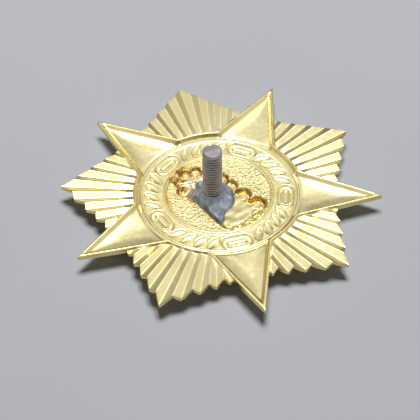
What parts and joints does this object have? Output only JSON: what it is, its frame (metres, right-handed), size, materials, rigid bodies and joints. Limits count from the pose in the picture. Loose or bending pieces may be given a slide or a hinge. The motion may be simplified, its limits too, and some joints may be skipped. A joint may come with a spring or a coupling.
{
  "type": "cap badge",
  "caption": "Stamped brass star badge over a fluted ray plate, hollow behind, with a threaded post soldered in the back that takes a nut through the cap.",
  "frame": {"origin": "centre of the star, on the surface that the badge lies on with its face down", "axes": "+Z out of the hollow back along the screw post, +Y towards one arm of the star"},
  "size_m": [0.0472, 0.0489, 0.0111],
  "materials": {
    "brass": "satin gilt brass, stamped",
    "solder": "dull soft solder with flux stain",
    "steel": "dull zinc-grey thread"
  },
  "bodies": {
    "root": {"star_shell": "brass", "solder_pool": "solder", "screw_post": "steel"}
  },
  "joints": []
}
